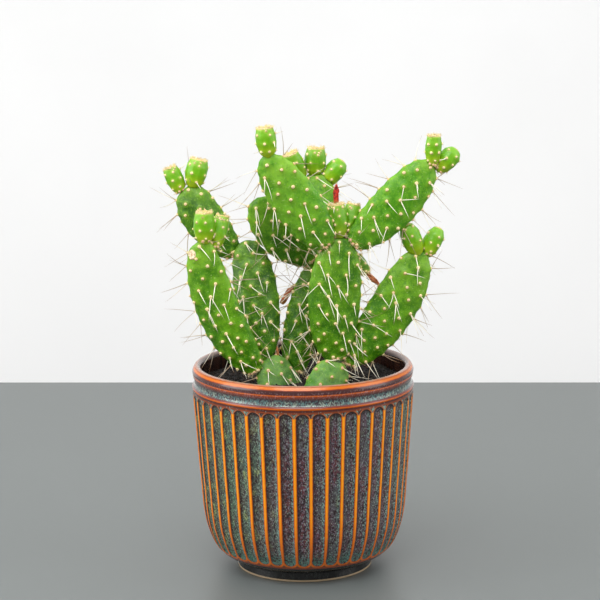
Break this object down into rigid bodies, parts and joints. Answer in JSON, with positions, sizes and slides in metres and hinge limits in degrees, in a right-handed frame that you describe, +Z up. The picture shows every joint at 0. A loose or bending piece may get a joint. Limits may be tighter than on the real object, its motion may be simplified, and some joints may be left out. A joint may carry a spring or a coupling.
{
  "type": "potted paddle cactus",
  "caption": "Small paddle cactus clump with oval spiny pads, young fruits and withered flowers, growing in soil in a round fluted glazed pot.",
  "frame": {"origin": "on the surface the pot stands on, at the middle of the whole object's box", "axes": "+Z up, -Y to the front of the clump, +X to the right seen from the front"},
  "size_m": [0.1786, 0.1356, 0.2754],
  "materials": {
    "glaze": "gloss",
    "soil": "matte",
    "root": "matte",
    "old_pad": "satin",
    "pad": "satin",
    "fruit": "satin",
    "shrivelled_fruit": "matte",
    "flower": "matte"
  },
  "bodies": {
    "root": {"pot": "glaze", "soil": "soil", "roots_left": "root", "roots_right": "root", "base_pad_left": "old_pad", "base_pad_right": "old_pad", "pad_left_front": "pad", "pad_left_back": "pad", "pad_left_top": "pad", "pad_middle_back": "pad", "pad_inner_left": "pad", "pad_center": "pad", "pad_top_center": "pad", "pad_top_right": "pad", "pad_right": "pad", "pad_top_back": "pad", "fruit_left_front_a": "fruit", "fruit_left_front_b": "fruit", "fruit_left_top_a": "fruit", "fruit_left_top_b": "fruit", "fruit_top_center": "fruit", "fruit_top_back_a": "fruit", "fruit_top_back_b": "fruit", "fruit_center_a": "fruit", "fruit_center_b": "fruit", "fruit_top_right": "fruit", "young_pad_right_a": "fruit", "young_pad_right_b": "fruit", "young_pad_top_right": "fruit", "young_pad_top_back": "fruit", "fruit_hanging": "shrivelled_fruit", "withered_flower_center": "flower", "withered_flower_hanging": "flower", "withered_flower_back": "flower", "withered_flower_base": "flower"}
  },
  "joints": []
}
